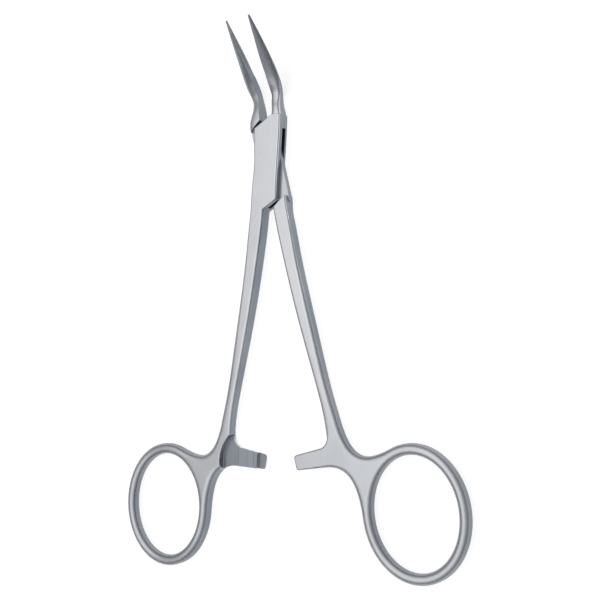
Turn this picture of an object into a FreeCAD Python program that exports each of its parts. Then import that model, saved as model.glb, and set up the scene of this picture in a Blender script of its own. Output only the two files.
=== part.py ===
import FreeCAD, Part
import math
import os

# Box-lock splinter forceps with angled jaws, finger rings and a ratchet, in millimetres.
# Each half is drawn with the jaws shut: X across, Y towards the jaws, Z = 0 at mid-depth, pivot on the Z axis.
# The finished halves are then swung open to rest, and the back of the box is put at Z = 0.
# Every shank is drawn on the +X side. The boxed half is mirrored afterwards.

# Rest pose
rest_half_angle = 5.5

# Box lock
box_depth = 4.1
front_cheek = 1.55
back_cheek = 1.05
slot_clearance = 0.05
wall_clearance = 0.05
slot_radius = 8.8
slot_end_clearance = 0.1
diagonal_angle = 33.0
jaw_end_distance = 8.95
shank_end_distance = 10.25
jaw_shoulder_gap = 0.15
shank_shoulder_gap = 0.5
pin_radius = 1.25
pin_running_clearance = 0.03
waist_left = [(-3.95, -5.0), (-3.75, -0.5), (-4.05, 4.0)]
box_left_x = -4.25
box_right = [(3.4, 0.0), (3.5, 8.5)]
box_right_top = (3.4, 11.4)
box_right_foot_x = 3.4
box_overlap_x = -1.5
tenon_left = [(-3.4, -9.5), (-3.43, -0.5), (-3.82, 4.0), (-4.26, 8.0), (-4.1, 9.6)]
tenon_right = [(3.35, 9.5), (3.4, 0.5), (3.95, -5.0), (4.55, -11.4)]

# Shank, from the box to the ratchet bar
shank_start_y = -11.0
shank_inner = [(0.35, -11.0), (1.2, -23.5), (2.7, -36.0), (4.7, -48.8), (6.75, -61.0)]
shank_outer = [(10.8, -67.0), (9.75, -61.7), (7.9, -49.0), (6.3, -36.3), (5.0, -24.0), (4.5, -17.0), (4.15, -11.0)]
shank_outer_lean = (-0.19, 1)
shank_extra = 1.5

# Depth down the shank: how much of the box's extra depth is still there at each y
handle_depth = 3.0
taper_start_y = -14.0
taper = [(-26.0, 1.0), (-44.0, 0.7), (-62.0, 0.25), (-80.0, 0.0), (-110.0, 0.0)]

# Ratchet bar
bar_corner_x = 7.5
bar_corner_y = -70.45
bar_corner_radius = 2.7
bar_top_slope = 7.6
bar_bottom_y = -77.8
bar_blend_x = 6.0
bar_overlap = 2.5
bar_tip_lean = 0.45
bar_tip_top_radius = 0.9
bar_tip_bottom_radius = 0.6
recess_radius = 9.1
recess_center = (1.4, -76.6)
tooth_edges = [5.65, 3.1, 1.0]
tooth_height = 0.45
bar_gap = 0.1

# Finger ring
ring_center = (27.65, -90.1)
ring_half_width = 12.15
ring_half_length = 14.65
ring_band = 2.65
ring_tilt = -1.7
ring_blend_top = 108.0
ring_blend_side = 183.0
bar_blend_reach = 6.0
side_blend_reach = 8.0
top_blend_reach = 7.0
shank_blend_reach = 11.0

# Rounded rims
box_rim = 0.42
shank_rim = 1.1
bar_rim = 0.42
ring_rim = 1.22
rim_share_of_wall = 0.46
shank_rim_end_y = -66.6
bar_rim_start_x = 6.5
ring_rim_start_x = 8.5

# Jaw stations: front edge (y, z), back edge (y, z), outer x, inner x, fullness of the rounding,
# and how far the front outer corner is slanted back, which leaves a ridge along the gripping face.
# A flat gripping face comes from sections as wide inwards as outwards, cut along the inner face.
jaw_stations = [
    ((18.30, 2.60), (19.40, 0.45), 3.10, -0.90, 0.76, 0.15),
    ((20.35, 4.10), (21.55, 2.05), 3.05, -2.60, 0.76, 0.40),
    ((24.12, 6.80), (25.18, 4.80), 2.45, -2.45, 0.76, 0.60),
    ((28.72, 9.85), (29.58, 8.55), 1.50, -1.50, 0.76, 0.65),
    ((33.58, 12.83), (33.84, 12.37), 0.38, -0.38, 0.72, 0.50),
]
boxed_neck = [
    ((10.10, 2.02), (10.10, -2.02), 3.40, 0.80, 1.00, 0.0),
    ((11.50, 2.02), (11.50, -2.02), 3.42, 0.75, 0.96, 0.0),
    ((13.20, 1.85), (13.00, -1.85), 3.04, 0.50, 0.86, 0.0),
    ((15.00, 1.55), (15.00, -1.50), 2.72, 0.15, 0.80, 0.0),
    ((16.60, 1.55), (17.10, -0.80), 2.85, 0.05, 0.76, 0.0),
]
plain_neck = [
    ((7.00, 2.03), (7.00, -2.03), 3.80, -3.80, 1.00, 0.0),
    ((8.80, 2.03), (8.80, -2.03), 4.18, -4.18, 1.00, 0.0),
    ((11.00, 2.02), (11.00, -2.02), 3.84, -3.84, 1.00, 0.0),
    ((13.20, 1.85), (13.00, -1.85), 3.04, -3.04, 0.92, 0.0),
    ((15.00, 1.55), (15.00, -1.50), 2.72, -2.72, 0.82, 0.0),
    ((16.60, 1.55), (17.10, -0.80), 2.85, -2.85, 0.76, 0.0),
]

# Inner face of a jaw: it meets the other jaw near the tip and bows away from it towards the neck
jaw_clearance = 0.03
grip_end_y = 27.5
jaw_bow = [(0.16, 22.5), (0.33, 18.4)]
neck_relief_y = 15.5
boxed_neck_relief = 0.15
plain_neck_relief = 0.55

# Jaw serrations
serration_pitch = 0.53
serration_count = 28
serration_depth = 0.12
serration_start = 0.9
serration_full_from = 5.0
serration_reach = 2.5
groove_width = 0.36
groove_depth = 0.2
groove_start = 3.2
groove_end = 13.0

# Directions and steps used in the drawing
right = (1, 0)
up = (0, 1)
down = (0, -1)
box_left_lean = (-0.1, 1)
angle_step = 0.5
half_tilt = 0.5

half_depth = box_depth / 2
half_handle = handle_depth / 2
slot_front_z = half_depth - front_cheek
slot_back_z = back_cheek - half_depth
jaw_normal = 90 + diagonal_angle
shank_normal = 270 + diagonal_angle
far = 200.0


def point(x, y, z=0.0):
    return FreeCAD.Vector(x, y, z)


def spline(points, start=None, end=None):
    curve = Part.BSplineCurve()
    knots = [point(*p) for p in points]
    if start is None:
        curve.interpolate(knots)
    else:
        curve.interpolate(Points=knots, InitialTangent=point(*start), FinalTangent=point(*end))
    return curve.toShape()


def line(a, b):
    return Part.LineSegment(point(*a), point(*b)).toShape()


def arc(a, middle, b):
    return Part.Arc(point(*a), point(*middle), point(*b)).toShape()


def blend(start, start_direction, start_reach, end, end_direction, end_reach):
    """A curve that leaves start and arrives at end in the given directions, fuller for longer reaches."""
    leave = point(*start_direction).normalize() * start_reach
    arrive = point(*end_direction).normalize() * end_reach
    curve = Part.BezierCurve()
    curve.setPoles([point(*start), point(*start) + leave, point(*end) - arrive, point(*end)])
    return curve.toShape()


def wire(edges):
    return Part.Wire(Part.__sortEdges__(edges))


def prism(face_wire, low, high):
    """A plan outline in the XY plane, made solid between two heights."""
    face = Part.Face(face_wire)
    face.translate(point(0, 0, low))
    return face.extrude(point(0, 0, high - low))


def rounded_corner(before, corner, after, radius):
    """Start, middle and end of the arc that rounds one corner of an outline."""
    back = FreeCAD.Vector(before[0] - corner[0], before[1] - corner[1], 0).normalize()
    ahead = FreeCAD.Vector(after[0] - corner[0], after[1] - corner[1], 0).normalize()
    half = back.getAngle(ahead) / 2
    apex = point(*corner)
    bisector = (back + ahead).normalize()
    reach = radius / math.tan(half)
    start = apex + back * reach
    end = apex + ahead * reach
    middle = apex + bisector * (radius / math.sin(half) - radius)
    return (start.x, start.y), (middle.x, middle.y), (end.x, end.y)


def ring_point(offset, degrees):
    """A point on the ring's centreline oval, moved outwards by offset."""
    turn = math.radians(degrees)
    tilt = math.radians(ring_tilt)
    x = (ring_half_width + offset) * math.cos(turn)
    y = (ring_half_length + offset) * math.sin(turn)
    return (
        ring_center[0] + x * math.cos(tilt) - y * math.sin(tilt),
        ring_center[1] + x * math.sin(tilt) + y * math.cos(tilt),
    )


def ring_direction(offset, degrees):
    """The oval's direction at that point, counter-clockwise."""
    before = ring_point(offset, degrees - angle_step)
    after = ring_point(offset, degrees + angle_step)
    return (after[0] - before[0], after[1] - before[1])


def ring_ellipse(offset):
    return Part.Ellipse(point(*ring_point(offset, 90)), point(*ring_point(offset, 180)), point(*ring_center))


def ring_hole():
    """The ring's inside, in two halves, so that no wall or rim closes on itself."""
    oval = ring_ellipse(-ring_band / 2)
    return wire([Part.ArcOfEllipse(oval, start, start + math.pi).toShape() for start in (0.0, math.pi)])


def handle_edges():
    """The shank's inner edge, the bar, the ring's outside and the shank's outer edge, open at the top."""
    slope = math.radians(bar_top_slope)
    swing = math.pi / 2 - slope
    corner_start = (bar_corner_x, bar_corner_y)
    center_x = bar_corner_x - bar_corner_radius
    corner_middle = (
        center_x + bar_corner_radius * math.cos(swing / 2),
        bar_corner_y - bar_corner_radius * math.sin(swing / 2),
    )
    corner_end = (
        center_x + bar_corner_radius * math.cos(swing),
        bar_corner_y - bar_corner_radius * math.sin(swing),
    )
    tip_top = (-bar_overlap, corner_end[1] - (corner_end[0] + bar_overlap) * math.tan(slope))
    tip_bottom = (bar_tip_lean - bar_overlap, bar_bottom_y)
    bar_end = (bar_blend_x, bar_bottom_y)
    top_start, top_middle, top_end = rounded_corner(corner_end, tip_top, tip_bottom, bar_tip_top_radius)
    low_start, low_middle, low_end = rounded_corner(tip_top, tip_bottom, bar_end, bar_tip_bottom_radius)
    outside = ring_band / 2
    side = ring_point(outside, ring_blend_side)
    top = ring_point(outside, ring_blend_top)
    side_way = ring_direction(outside, ring_blend_side)
    top_way = ring_direction(outside, ring_blend_top)
    shank_foot = shank_outer[0]
    ring_arc = Part.ArcOfEllipse(
        ring_ellipse(outside),
        math.radians(ring_blend_side - 90),
        math.radians(270 + ring_blend_top),
    )
    return [
        spline(shank_inner + [corner_start], down, down),
        arc(corner_start, corner_middle, corner_end),
        line(corner_end, top_start),
        arc(top_start, top_middle, top_end),
        line(top_end, low_start),
        arc(low_start, low_middle, low_end),
        line(low_end, bar_end),
        blend(bar_end, right, bar_blend_reach, side, side_way, side_blend_reach),
        ring_arc.toShape(),
        blend(top, top_way, top_blend_reach, shank_foot, shank_outer_lean, shank_blend_reach),
        spline(shank_outer, shank_outer_lean, up),
    ]


def side_profile():
    """The depth of a half seen from the side: even along the box, then tapering down the shank."""
    top_y = far / 2
    poles = [(taper_start_y, half_depth)]
    for y, share in taper:
        poles.append((y, half_handle + share * (half_depth - half_handle)))
    degree = 3
    spans = len(poles) - degree
    edges = []
    for face in (1, -1):
        curve = Part.BSplineCurve()
        curve.buildFromPolesMultsKnots(
            [point(-far / 2, y, face * z) for y, z in poles],
            [degree + 1] + [1] * (spans - 1) + [degree + 1],
            list(range(spans + 1)),
            False,
            degree,
        )
        edges.append(curve.toShape())
        edges.append(line((-far / 2, taper_start_y, face * half_depth), (-far / 2, top_y, face * half_depth)))
    for y, z in ((top_y, half_depth), poles[-1]):
        edges.append(line((-far / 2, y, z), (-far / 2, y, -z)))
    return Part.Face(wire(edges)).extrude(point(far, 0, 0))


def rim_radius(place):
    """How far the rim is rounded at a place on the outline."""
    if place.y > shank_rim_end_y:
        share = (shank_start_y - place.y) / (shank_start_y - bar_corner_y)
        return box_rim + (shank_rim - box_rim) * max(0.0, share)
    if place.x < bar_rim_start_x:
        return bar_rim
    if place.x < ring_rim_start_x:
        return shank_rim
    return min(ring_rim, rim_share_of_wall * min(ring_band, handle_depth))


def face_tilt(face, place):
    u, v = face.Surface.parameter(place)
    return abs(face.normalAt(u, v).z)


def is_rim(shape, edge):
    """True for an edge between the front or back and an upright wall, apart from the cut across the top."""
    faces = shape.ancestorsOfType(edge, Part.Face)
    middle = edge.valueAt((edge.FirstParameter + edge.LastParameter) / 2)
    upright, level = sorted(face_tilt(face, middle) for face in faces)
    if upright > half_tilt or level < half_tilt:
        return False
    run = edge.valueAt(edge.LastParameter) - edge.valueAt(edge.FirstParameter)
    return middle.y < shank_start_y or abs(run.y) > abs(run.x)


def round_rims(shape, side):
    """Round the front (side 1) or back (side -1) rim, with a radius that changes along it."""
    document = FreeCAD.newDocument()
    base = document.addObject("Part::Feature", "Blank")
    base.Shape = shape
    rounding = document.addObject("Part::Fillet", "Rounded")
    rounding.Base = base
    rims = []
    for index, edge in enumerate(shape.Edges, 1):
        first = edge.valueAt(edge.FirstParameter)
        last = edge.valueAt(edge.LastParameter)
        if first.z * side > 0 and last.z * side > 0 and is_rim(shape, edge):
            rims.append((index, rim_radius(first), rim_radius(last)))
    rounding.Edges = rims
    document.recompute()
    result = rounding.Shape.copy()
    FreeCAD.closeDocument(document.Name)
    return result


def handle():
    """Shank, bar and ring in one piece with rounded rims, carried straight up a little above its start."""
    outer_x = shank_outer[-1][0]
    inner_x = shank_inner[0][0]
    top_y = shank_start_y + shank_extra
    edges = handle_edges()
    edges.append(line((outer_x, shank_start_y), (outer_x, top_y)))
    edges.append(line((outer_x, top_y), (inner_x, top_y)))
    edges.append(line((inner_x, top_y), (inner_x, shank_start_y)))
    blank = prism(wire(edges), -half_depth, half_depth)
    hole = prism(ring_hole(), -half_depth, half_depth)
    blank = blank.cut(hole).common(side_profile()).Solids[0]
    return round_rims(round_rims(blank, -1), 1)


def diagonal_y(normal, distance, x):
    """The y at x on the line square to the normal (degrees) at that distance from the pivot."""
    turn = math.radians(normal)
    return (distance - x * math.cos(turn)) / math.sin(turn)


def beyond(normal, distance):
    """Everything further from the pivot than that line."""
    block = Part.makeBox(far, far, far, point(distance, -far / 2, -far / 2))
    block.rotate(point(0, 0), point(0, 0, 1), normal)
    return block


def lock_space(radius, shift, low, high):
    """A round space about the pivot, open to the male jaw above and to the male shank below."""
    height = high - low
    disc = Part.makeCylinder(radius, height, point(0, 0, low))
    above = Part.makeBox(far, far, height, point(shift - far, 0, low))
    below = Part.makeBox(far, far, height, point(-shift, -far, low))
    return disc.fuse([above, below])


def box_blank():
    """The box before its slot is cut: straight ends on the diagonals, rounded rims along both sides."""
    left_foot = (-shank_outer[-1][0], shank_start_y)
    left_top = (box_left_x, diagonal_y(jaw_normal, jaw_end_distance, box_left_x))
    meet_y = box_right_top[1]
    turn = math.radians(jaw_normal)
    meet = ((jaw_end_distance - meet_y * math.sin(turn)) / math.cos(turn), meet_y)
    right_foot = (box_right_foot_x, diagonal_y(shank_normal, shank_end_distance, box_right_foot_x))
    shank_corner = (box_overlap_x, diagonal_y(shank_normal, shank_end_distance, box_overlap_x))
    outline = wire([
        spline([left_foot] + waist_left + [left_top], up, box_left_lean),
        line(left_top, meet),
        line(meet, box_right_top),
        spline([box_right_top] + box_right[::-1] + [right_foot]),
        line(right_foot, shank_corner),
        line(shank_corner, (box_overlap_x, shank_start_y)),
        line((box_overlap_x, shank_start_y), left_foot),
    ])
    blank = prism(outline, -half_depth, half_depth)
    rims = []
    for edge in blank.Edges:
        first = edge.valueAt(edge.FirstParameter)
        last = edge.valueAt(edge.LastParameter)
        if abs(first.z - last.z) < 0.01 and abs(last.y - first.y) > 2 * slot_radius:
            rims.append(edge)
    return blank.makeFillet(box_rim, rims)


def bar_recess():
    """What is milled from the front of a bar: its ratchet teeth, a sloping floor and a round end wall."""
    crest = -bar_gap / 2
    root_x = recess_center[0] + recess_radius + 1
    end_x = -bar_overlap - 1
    profile = [(root_x, far / 2), (root_x, crest)]
    for edge_x in tooth_edges:
        profile.append((edge_x, crest - tooth_height))
        profile.append((edge_x, crest))
    profile.append((end_x, crest - tooth_height))
    profile.append((end_x, far / 2))
    corners = [point(x, -far / 2, z) for x, z in profile]
    teeth = Part.Face(Part.makePolygon(corners + corners[:1])).extrude(point(0, far, 0))
    plan = Part.makeCylinder(recess_radius, far, point(recess_center[0], recess_center[1], -far / 2))
    return teeth.common(plan)


def section_poles(front, back, outer, inner, fullness, slant):
    """Poles of one rounded jaw section, starting and ending at the middle of its inner side."""
    middle = point((outer + inner) / 2, (front[0] + back[0]) / 2, (front[1] + back[1]) / 2)
    across = point((outer - inner) / 2, 0, 0)
    along = point(0, (front[0] - back[0]) / 2, (front[1] - back[1]) / 2)
    k = fullness
    s = fullness - slant
    shape = [(-1, 0), (-1, k), (-k, 1), (s, 1), (1, s), (1, -k), (k, -1), (-k, -1), (-1, -k), (-1, 0)]
    return [middle + across * u + along * v for u, v in shape]


def skinned(stations):
    """A smooth solid through the jaw sections, with flat ends."""
    rows = [section_poles(*station) for station in stations]
    middles = [(row[0] + row[4] + row[5]) / 3 for row in rows]
    steps = [0.0]
    for a, b in zip(middles, middles[1:]):
        steps.append(steps[-1] + (b - a).Length)
    columns = []
    for k in range(len(rows[0])):
        curve = Part.BSplineCurve()
        curve.interpolate(Points=[row[k] for row in rows], Parameters=steps)
        columns.append(curve)
    tube = Part.BSplineSurface()
    tube.buildFromPolesMultsKnots(
        [curve.getPoles() for curve in columns],
        [4, 2, 2, 2, 4],
        columns[0].getMultiplicities(),
        [0, 1, 2, 3, 4],
        columns[0].getKnots(),
        False,
        False,
        3,
        3,
    )
    faces = [tube.toShape()]
    for step in (steps[0], steps[-1]):
        faces.append(Part.Face(Part.Wire([tube.vIso(step).toShape()])))
    shell = Part.makeShell(faces)
    shell.sewShape()
    solid = Part.Solid(shell)
    if solid.Volume < 0:
        solid.reverse()
    return solid


def grip_line():
    """Tip, direction away from the tip and direction across, along the middle of the gripping face."""
    tip_front, tip_back = jaw_stations[-1][:2]
    root_front, root_back = jaw_stations[1][:2]
    tip = point(0, (tip_front[0] + tip_back[0]) / 2, (tip_front[1] + tip_back[1]) / 2)
    root = point(0, (root_front[0] + root_back[0]) / 2, (root_front[1] + root_back[1]) / 2)
    along = (root - tip).normalize()
    return tip, along, point(1, 0, 0).cross(along)


def inner_face(relief):
    """The plan curve of a jaw's inner side, from beyond the tip down to below the neck."""
    low = (relief, 0.0)
    below = [(relief, neck_relief_y)] + jaw_bow[::-1] + [(jaw_clearance, grip_end_y)]
    return low, spline(below, up, up), (jaw_clearance, far)


def inner_side(relief):
    """What is cut away on the far side of a jaw's inner face."""
    low, bow, high = inner_face(relief)
    outline = wire([
        line(low, (relief, neck_relief_y)),
        bow,
        line((jaw_clearance, grip_end_y), high),
        line(high, (-far, far)),
        line((-far, far), (-far, 0.0)),
        line((-far, 0.0), low),
    ])
    return prism(outline, -far, far)


def bow_at(relief, y):
    """The inner face's x at one y."""
    if y >= grip_end_y:
        return jaw_clearance
    crossing = inner_face(relief)[1].distToShape(line((-far, y), (far, y)))[1][0][0]
    return crossing.x


def serrations(relief):
    """V grooves across the gripping face and one straight channel along it."""
    tip, along, across = grip_line()
    proud = point(-serration_depth, 0, 0)
    cutters = []
    for i in range(serration_count):
        distance = serration_start + i * serration_pitch
        share = min(1.0, distance / serration_full_from)
        valley = tip + along * distance
        face = point(bow_at(relief, valley.y), 0, 0)
        valley = valley + face - across * serration_reach
        rise = point(-serration_depth * share, 0, 0)
        slant = along * (serration_pitch * share)
        corners = [valley - rise, valley - slant + rise, valley + slant + rise]
        vee = Part.Face(Part.makePolygon(corners + corners[:1])).extrude(across * (2 * serration_reach))
        cutters.append(vee)
    start = tip + point(jaw_clearance, 0, 0) + proud + along * groove_start
    run = along * (groove_end - groove_start)
    side = across * (groove_width / 2)
    corners = [start - side, start + side, start + side + run, start - side + run]
    floor = point(groove_depth + serration_depth, 0, 0)
    cutters.append(Part.Face(Part.makePolygon(corners + corners[:1])).extrude(floor))
    return cutters


def jaw(neck, relief):
    """A neck and jaw on the +X side, with its gripping face and serrations."""
    solid = skinned(neck + jaw_stations).cut(inner_side(relief))
    return solid.cut(serrations(relief)).Solids[0]


def mirrored(shape):
    return shape.mirror(point(0, 0), point(1, 0, 0))


def set_at_rest(shape, turn):
    """Swing a finished half about the pivot and stand the back of the box on Z = 0."""
    shape.rotate(point(0, 0), point(0, 0, 1), turn)
    shape.translate(point(0, 0, half_depth))
    return shape


def pin_shape(radius):
    return Part.makeCylinder(radius, box_depth, point(0, 0, -half_depth))


def make_female_half():
    """Right jaw, box with its through slot, and left shank, bar and ring."""
    shank = handle().common(Part.makeBox(far, far, far, point(-far / 2, shank_start_y - far, -far / 2)))
    shank = mirrored(shank.cut(bar_recess()))
    half = box_blank().fuse([shank, jaw(boxed_neck, boxed_neck_relief)])
    half = half.cut(lock_space(slot_radius, wall_clearance, slot_back_z, slot_front_z))
    return half.cut(pin_shape(pin_radius))


def make_male_half():
    """Left jaw, thin tenon through the box, and right shank, bar and ring."""
    recess = bar_recess().mirror(point(0, 0), point(0, 0, 1))
    shank = handle().common(beyond(shank_normal, shank_end_distance + shank_shoulder_gap)).cut(recess)
    grip = mirrored(jaw(plain_neck, plain_neck_relief)).common(beyond(jaw_normal, jaw_end_distance + jaw_shoulder_gap))
    low = slot_back_z + slot_clearance
    high = slot_front_z - slot_clearance
    outline = wire([
        spline(tenon_left),
        line(tenon_left[-1], tenon_right[0]),
        spline(tenon_right),
        line(tenon_right[-1], tenon_left[0]),
    ])
    space = lock_space(slot_radius - slot_end_clearance, -wall_clearance, low, high)
    tenon = prism(outline, low, high).common(space)
    half = tenon.fuse([shank, grip])
    return half.cut(pin_shape(pin_radius + pin_running_clearance))


os.makedirs("parts", exist_ok=True)
parts = {
    "female_half": set_at_rest(make_female_half(), -rest_half_angle),
    "male_half": set_at_rest(make_male_half(), rest_half_angle),
    "pivot_pin": set_at_rest(pin_shape(pin_radius), 0),
}
for name, shape in parts.items():
    print(name, "valid", shape.isValid(), "volume", round(shape.Volume, 1))
    shape.exportStep("parts/" + name + ".step")
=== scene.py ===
import bpy
from mathutils import Matrix, Vector

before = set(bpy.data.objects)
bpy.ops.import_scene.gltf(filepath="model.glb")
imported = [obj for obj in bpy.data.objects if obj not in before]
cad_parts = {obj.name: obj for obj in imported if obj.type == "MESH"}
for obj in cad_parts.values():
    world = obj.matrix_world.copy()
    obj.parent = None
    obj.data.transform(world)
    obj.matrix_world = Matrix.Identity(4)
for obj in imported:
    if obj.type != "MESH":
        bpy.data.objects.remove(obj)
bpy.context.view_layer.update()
print("frame loaded:", sorted(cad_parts))


# camera: seen from the front right, looking down at the forceps on the table
cameraSetup = {
    "position": (0.1363, -0.0568, 0.2091),
    "right": (0.84658, -0.03653, -0.53101),
    "up": (0.07588, 0.99574, 0.05247),
    "focalPixels": 992.2,
    "pictureWidth": 600,
    "sensor": 36.0,
    "nearest": 0.01,
    "farthest": 20,
}


def placeCamera():
    right = Vector(cameraSetup["right"]).normalized()
    up = Vector(cameraSetup["up"])
    up = (up - right * up.dot(right)).normalized()
    back = right.cross(up)
    data = bpy.data.cameras.new("camera")
    data.sensor_width = cameraSetup["sensor"]
    data.lens = cameraSetup["focalPixels"] / cameraSetup["pictureWidth"] * cameraSetup["sensor"]
    data.clip_start = cameraSetup["nearest"]
    data.clip_end = cameraSetup["farthest"]
    camera = bpy.data.objects.new("camera", data)
    bpy.context.scene.collection.objects.link(camera)
    turn = Matrix((right, up, back)).transposed()
    camera.matrix_world = Matrix.Translation(cameraSetup["position"]) @ turn.to_4x4()
    bpy.context.scene.camera = camera


placeCamera()
print("camera placed")


# steel: the flats are ground smoother and get a painted lit colour, the sides and milled steps stay a
# rougher satin with a painted shade colour
steelLook = {
    # the painted lit colour of the flats and the painted shade colour of walls and milled steps, with their
    # roughness
    "paintedLitColour": (0.745, 0.76, 0.795, 1),
    "paintedShadeColour": (0.15, 0.175, 0.21, 1),
    "brightRoughness": 0.30,
    "darkRoughness": 0.42,
    "roughnessSwing": 0.10,
    # how far in front of the steel's middle a face stands when it gets the painted lit colour
    "middle": 0.00205,
    "paintedLitFrom": -0.0004,
    "paintedLitTo": 0.0020,
    # the lock and the necks, either way from the pin, where the shaded tenon gets painted light
    "lockReach": 0.0155,
    "lockFade": 0.0025,
    "tenonFrom": 0.0001,
    "tenonTo": 0.0004,
    "tenonLightLevel": 0.85,
    # painted shade on the jaws past their bend
    "jawFrom": 0.0165,
    "jawTo": 0.0205,
    "jawShadeLevel": 0.38,
    # scratches along the forceps
    "grainLength": 0.006,
    "grainWidth": 0.00010,
    "grainDepth": 0.0000035,
    "grainDetail": 3,
    "grainLow": 0.25,
    "grainHigh": 0.75,
    # slow changes left by handling
    "cloudSize": 0.012,
    "cloudDetail": 2,
    "cloudLow": 0.3,
    "cloudHigh": 0.7,
    "cloudSwing": 0.06,
    # rounding of the edges, from the lock down to the handles
    "edgeRadius": 0.00016,
    "handleRadius": 0.0012,
    "handleFrom": -0.022,
    "handleTo": -0.060,
    "roundingSamples": 8,
    # painted shade on the milled faces of the ratchet bars and painted light on their end walls
    "barTop": -0.0685,
    "barSide": 0.0190,
    "barFade": 0.002,
    "barShadeLevel": 0.26,
    "barWallLightLevel": 0.8,
    "wallTilt": 0.2,
    "faceTilt": 0.8,
    # the flush pin, which shows no ring
    "flushFrom": 0.0015,
    "flushTo": 0.0019,
    # worn edges
    "wornFrom": 0.02,
    "wornTo": 0.16,
    "wornLift": 0.55,
}


def ranged(nodes, links, source, low, high, outLow, outHigh):
    step = nodes.new("ShaderNodeMapRange")
    step.inputs["From Min"].default_value = low
    step.inputs["From Max"].default_value = high
    step.inputs["To Min"].default_value = outLow
    step.inputs["To Max"].default_value = outHigh
    links.new(source, step.inputs["Value"])
    return step.outputs["Result"]


def calculated(nodes, links, operation, first, second):
    step = nodes.new("ShaderNodeMath")
    step.operation = operation
    for socket, value in zip(step.inputs, (first, second)):
        if isinstance(value, float):
            socket.default_value = value
        else:
            links.new(value, socket)
    return step.outputs["Value"]


def onBars(nodes, links, place):
    # 1 on the ratchet bars, 0 elsewhere
    top = steelLook["barTop"]
    side = steelLook["barSide"]
    below = ranged(nodes, links, place.outputs["Y"], top - steelLook["barFade"], top, 1, 0)
    sideways = calculated(nodes, links, "ABSOLUTE", place.outputs["X"], 0.0)
    inside = ranged(nodes, links, sideways, side - steelLook["barFade"], side, 1, 0)
    return calculated(nodes, links, "MULTIPLY", below, inside)


def paintedLightFactor(nodes, links, where, place, bars):
    # painted light and shade: 1 gives the lit colour on faces that stand proud of mid-depth and face front
    # or back, 0 gives painted shade on walls and milled steps;
    # the thin tenon in the lock and the round necks get painted light as well, and the jaws get painted
    # shade
    facing = nodes.new("ShaderNodeSeparateXYZ")
    links.new(where.outputs["Normal"], facing.inputs["Vector"])
    height = calculated(nodes, links, "SUBTRACT", place.outputs["Z"], steelLook["middle"])
    height = calculated(nodes, links, "MINIMUM", height, steelLook["paintedLitTo"])
    proud = calculated(nodes, links, "MULTIPLY", height, facing.outputs["Z"])
    paintedLightMask = ranged(nodes, links, proud, steelLook["paintedLitFrom"], steelLook["paintedLitTo"], 0, 1)
    # painted light on the low tenon face in the lock, which lies in shade
    paintedTenonLight = ranged(
        nodes, links, proud, steelLook["tenonFrom"], steelLook["tenonTo"], 0, steelLook["tenonLightLevel"]
    )
    away = calculated(nodes, links, "ABSOLUTE", place.outputs["Y"], 0.0)
    lockEnd = steelLook["lockReach"] + steelLook["lockFade"]
    inLock = ranged(nodes, links, away, steelLook["lockReach"], lockEnd, 1, 0)
    paintedLightMask = calculated(nodes, links, "MAXIMUM", paintedLightMask, calculated(nodes, links, "MULTIPLY", paintedTenonLight, inLock))
    # painted shade on the jaws past their bend
    paintedJawShade = ranged(
        nodes, links, place.outputs["Y"], steelLook["jawFrom"], steelLook["jawTo"], 1, steelLook["jawShadeLevel"]
    )
    paintedLightMask = calculated(nodes, links, "MULTIPLY", paintedLightMask, paintedJawShade)
    # painted shade on the bars' milled faces and painted light on their end walls
    upright = calculated(nodes, links, "ABSOLUTE", facing.outputs["Z"], 0.0)
    paintedBarLightAndShade = ranged(
        nodes,
        links,
        upright,
        steelLook["wallTilt"],
        steelLook["faceTilt"],
        steelLook["barWallLightLevel"],
        steelLook["barShadeLevel"],
    )
    return calculated(nodes, links, "MAXIMUM", paintedLightMask, calculated(nodes, links, "MULTIPLY", paintedBarLightAndShade, bars))


def grainPattern(nodes, links, where):
    # fine scratches that run along the forceps
    stretch = nodes.new("ShaderNodeMapping")
    across = 1 / steelLook["grainWidth"]
    stretch.inputs["Scale"].default_value = (across, 1 / steelLook["grainLength"], across)
    links.new(where.outputs["Object"], stretch.inputs["Vector"])
    grain = nodes.new("ShaderNodeTexNoise")
    grain.inputs["Scale"].default_value = 1
    grain.inputs["Detail"].default_value = steelLook["grainDetail"]
    links.new(stretch.outputs["Vector"], grain.inputs["Vector"])
    return grain.outputs["Fac"]


def cloudPattern(nodes, links, where):
    # slow changes left by handling and polishing
    cloud = nodes.new("ShaderNodeTexNoise")
    cloud.inputs["Scale"].default_value = 1 / steelLook["cloudSize"]
    cloud.inputs["Detail"].default_value = steelLook["cloudDetail"]
    links.new(where.outputs["Object"], cloud.inputs["Vector"])
    return cloud.outputs["Fac"]


def softenedNormal(nodes, links, where, place, bars):
    # crisp at the lock, full and hand-polished down the handles, and nothing round the pin,
    # which is peened and ground flush
    level = nodes.new("ShaderNodeVectorMath")
    level.operation = "MULTIPLY"
    level.inputs[1].default_value = (1, 1, 0)
    links.new(where.outputs["Object"], level.inputs[0])
    away = nodes.new("ShaderNodeVectorMath")
    away.operation = "LENGTH"
    links.new(level.outputs["Vector"], away.inputs[0])
    distance = away.outputs["Value"]
    flush = ranged(nodes, links, distance, steelLook["flushFrom"], steelLook["flushTo"], 0, 1)
    full = ranged(nodes, links, place.outputs["Y"], steelLook["handleTo"], steelLook["handleFrom"], 1, 0)
    full = calculated(nodes, links, "MULTIPLY", full, calculated(nodes, links, "SUBTRACT", 1.0, bars))
    radius = ranged(nodes, links, full, 0, 1, steelLook["edgeRadius"], steelLook["handleRadius"])
    soften = nodes.new("ShaderNodeBevel")
    soften.samples = steelLook["roundingSamples"]
    links.new(calculated(nodes, links, "MULTIPLY", radius, flush), soften.inputs["Radius"])
    return soften.outputs["Normal"]


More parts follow.
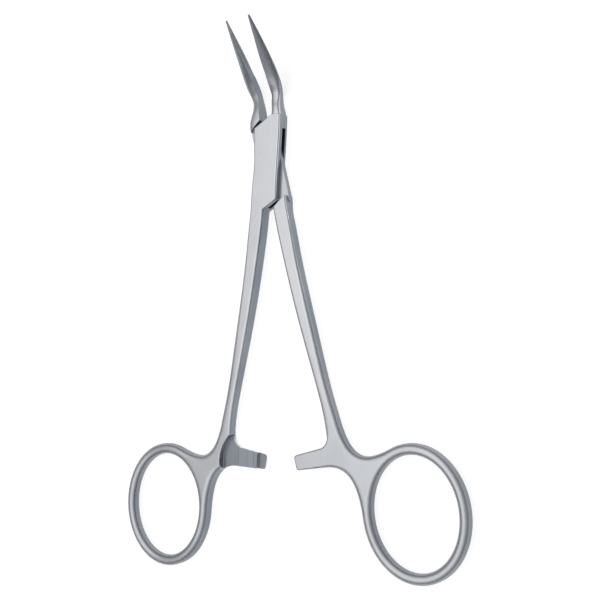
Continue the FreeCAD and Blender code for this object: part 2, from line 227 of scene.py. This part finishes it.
def edgeWear(nodes, links, softened):
    # rises where the rounded-over normal turns away from the face's own, along worn edges
    surface = nodes.new("ShaderNodeNewGeometry")
    compare = nodes.new("ShaderNodeVectorMath")
    compare.operation = "DOT_PRODUCT"
    links.new(surface.outputs["Normal"], compare.inputs[0])
    links.new(softened, compare.inputs[1])
    turned = calculated(nodes, links, "SUBTRACT", 1.0, compare.outputs["Value"])
    return ranged(
        nodes, links, turned, steelLook["wornFrom"], steelLook["wornTo"], 0, steelLook["wornLift"]
    )


def steelMaterial(name):
    mat = bpy.data.materials.new(name)
    mat.use_nodes = True
    nodes = mat.node_tree.nodes
    links = mat.node_tree.links
    nodes.clear()
    out = nodes.new("ShaderNodeOutputMaterial")
    bsdf = nodes.new("ShaderNodeBsdfPrincipled")
    links.new(bsdf.outputs["BSDF"], out.inputs["Surface"])
    bsdf.inputs["Metallic"].default_value = 1

    where = nodes.new("ShaderNodeTexCoord")
    place = nodes.new("ShaderNodeSeparateXYZ")
    links.new(where.outputs["Object"], place.inputs["Vector"])
    bars = onBars(nodes, links, place)
    softened = softenedNormal(nodes, links, where, place, bars)
    grain = grainPattern(nodes, links, where)
    cloud = cloudPattern(nodes, links, where)
    paintedLightMask = paintedLightFactor(nodes, links, where, place, bars)
    worn = edgeWear(nodes, links, softened)

    swing = steelLook["cloudSwing"]
    cloudy = ranged(nodes, links, cloud, steelLook["cloudLow"], steelLook["cloudHigh"], -swing, swing)
    # painted light and shade from the mask, with worn edges lifted toward the same lit colour; the cloud
    # adds random tone
    paintedLightAndWear = calculated(nodes, links, "MAXIMUM", paintedLightMask, worn)
    paintedLightWearAndTone = calculated(nodes, links, "ADD", paintedLightAndWear, cloudy)
    colour = nodes.new("ShaderNodeMix")
    colour.data_type = "RGBA"
    colour.inputs["A"].default_value = steelLook["paintedShadeColour"]
    colour.inputs["B"].default_value = steelLook["paintedLitColour"]
    links.new(paintedLightWearAndTone, colour.inputs["Factor"])
    links.new(colour.outputs["Result"], bsdf.inputs["Base Color"])

    base = ranged(nodes, links, paintedLightMask, 0, 1, steelLook["darkRoughness"], steelLook["brightRoughness"])
    swing = steelLook["roughnessSwing"] / 2
    uneven = ranged(nodes, links, grain, steelLook["grainLow"], steelLook["grainHigh"], -swing, swing)
    links.new(calculated(nodes, links, "ADD", base, uneven), bsdf.inputs["Roughness"])

    bump = nodes.new("ShaderNodeBump")
    bump.inputs["Distance"].default_value = steelLook["grainDepth"]
    links.new(grain, bump.inputs["Height"])
    links.new(softened, bump.inputs["Normal"])
    links.new(bump.outputs["Normal"], bsdf.inputs["Normal"])
    return mat


def dressSteel():
    satin = steelMaterial("satin_steel")
    pin = steelMaterial("pin_steel")
    for name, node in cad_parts.items():
        node.data.materials.clear()
        node.data.materials.append(pin if name == "pivot_pin" else satin)


dressSteel()
print("steel finished")


# floor: a plain white sheet that still takes a faint shadow
floorLook = {"colour": (0.62, 0.62, 0.62, 1), "roughness": 0.9, "glow": 0.72, "size": 40.0, "drop": 0.00005}


def directRays(nodes, links):
    # 1 for what the camera sees and what shows in the steel, 0 for light that falls on things
    ray = nodes.new("ShaderNodeLightPath")
    seen = calculated(nodes, links, "MAXIMUM", ray.outputs["Is Camera Ray"], ray.outputs["Is Glossy Ray"])
    return calculated(nodes, links, "MAXIMUM", seen, ray.outputs["Is Transmission Ray"])


def layFloor():
    bpy.ops.mesh.primitive_plane_add(size=floorLook["size"], location=(0, 0, -floorLook["drop"]))
    floor = bpy.context.object
    floor.name = "floor"
    mat = bpy.data.materials.new("white_paper")
    mat.use_nodes = True
    nodes = mat.node_tree.nodes
    links = mat.node_tree.links
    bsdf = nodes["Principled BSDF"]
    bsdf.inputs["Base Color"].default_value = floorLook["colour"]
    bsdf.inputs["Roughness"].default_value = floorLook["roughness"]
    bsdf.inputs["Specular IOR Level"].default_value = 0
    bsdf.inputs["Emission Color"].default_value = (1, 1, 1, 1)
    glow = calculated(nodes, links, "MULTIPLY", directRays(nodes, links), floorLook["glow"])
    links.new(glow, bsdf.inputs["Emission Strength"])
    floor.data.materials.append(mat)


layFloor()
print("floor laid")


# light: a wide softbox close overhead, in a room that fades from a pale ceiling to dim walls,
# with a low white backdrop all round where the floor ends
softbox = {
    "leftEdge": -0.24,
    "rightEdge": 0.10,
    "nearEdge": -0.30,
    "farEdge": 0.25,
    "height": 0.30,
    "power": 0.30,
}
room = {
    "wallLevel": 0.10,
    "ceilingLevel": 0.55,
    "wallEdge": 0.05,
    "ceilingEdge": 0.95,
    "backdropEdge": 0.04,
    "backdropFade": 0.02,
}


def hangSoftbox():
    data = bpy.data.lights.new("softbox", "AREA")
    data.shape = "RECTANGLE"
    data.size = softbox["rightEdge"] - softbox["leftEdge"]
    data.size_y = softbox["farEdge"] - softbox["nearEdge"]
    data.energy = softbox["power"]
    lamp = bpy.data.objects.new("softbox", data)
    bpy.context.scene.collection.objects.link(lamp)
    lamp.location = (
        (softbox["rightEdge"] + softbox["leftEdge"]) / 2,
        (softbox["farEdge"] + softbox["nearEdge"]) / 2,
        softbox["height"],
    )


def lightRoom():
    world = bpy.data.worlds.new("studio")
    world.use_nodes = True
    nodes = world.node_tree.nodes
    links = world.node_tree.links
    where = nodes.new("ShaderNodeTexCoord")
    parts = nodes.new("ShaderNodeSeparateXYZ")
    links.new(where.outputs["Generated"], parts.inputs["Vector"])
    up = parts.outputs["Z"]
    level = ranged(
        nodes, links, up, room["wallEdge"], room["ceilingEdge"], room["wallLevel"], room["ceilingLevel"]
    )
    backdropTop = room["backdropEdge"] + room["backdropFade"]
    backdrop = ranged(nodes, links, up, room["backdropEdge"], backdropTop, 1, 0)
    backdrop = calculated(nodes, links, "MULTIPLY", backdrop, directRays(nodes, links))
    level = calculated(nodes, links, "MAXIMUM", level, backdrop)
    links.new(level, nodes["Background"].inputs["Strength"])
    nodes["Background"].inputs["Color"].default_value = (1, 1, 1, 1)
    bpy.context.scene.world = world


hangSoftbox()
lightRoom()
bpy.context.scene.view_settings.view_transform = "Standard"
print("light set")
